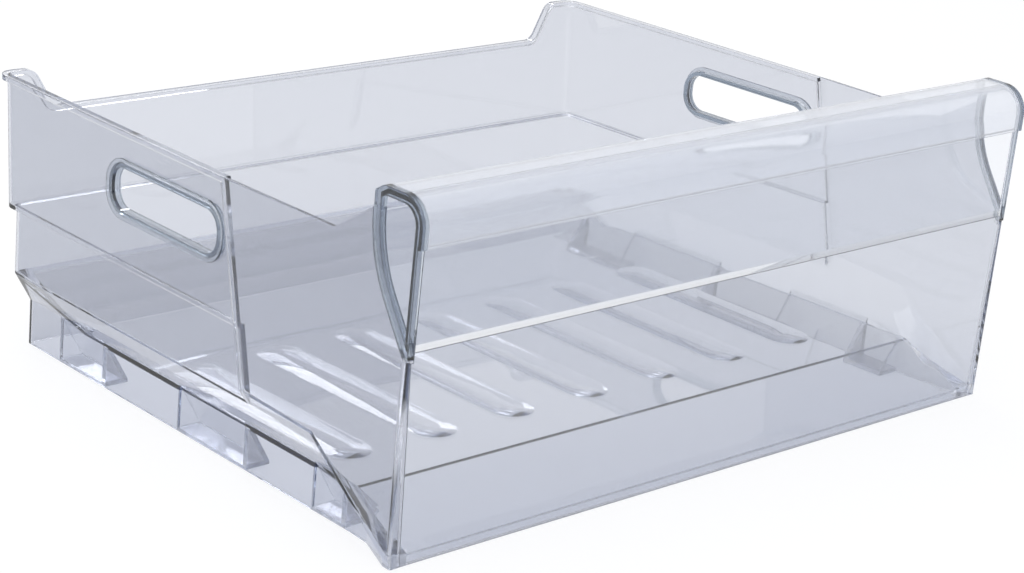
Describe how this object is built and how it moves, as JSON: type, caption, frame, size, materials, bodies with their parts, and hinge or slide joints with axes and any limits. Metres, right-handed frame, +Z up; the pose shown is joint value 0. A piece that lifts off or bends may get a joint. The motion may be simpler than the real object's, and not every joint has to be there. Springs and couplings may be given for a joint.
{
  "type": "fridge drawer organizer",
  "caption": "Clear open drawer for a fridge or freezer, with a flat front, a hollow full-width handle, hand slots in both sides and a lowered back wall.",
  "frame": {"origin": "centre of the bounding box in plan, at the level of the drawer's lowest edge", "axes": "+X to the right along the front as seen by someone who stands before the drawer, -Y towards that person, +Z up"},
  "size_m": [0.467, 0.3728, 0.192],
  "materials": {
    "tub_clear": "clear moulded polystyrene with a pale blue-grey tint",
    "panel_clear": "clear moulded polystyrene with a pale blue-grey tint",
    "handle_clear": "clear moulded polystyrene with a pale blue-grey tint",
    "cover_clear": "clear polystyrene, a little whiter than the tub",
    "rim_clear": "thick clear polystyrene, polished"
  },
  "bodies": {
    "root": {"drawer_tub": "tub_clear", "front_panel": "panel_clear", "handle_shell": "handle_clear", "handle_cover": "cover_clear", "left_end_frame": "rim_clear", "right_end_frame": "rim_clear", "left_grip_collar": "rim_clear", "right_grip_collar": "rim_clear"}
  },
  "joints": []
}
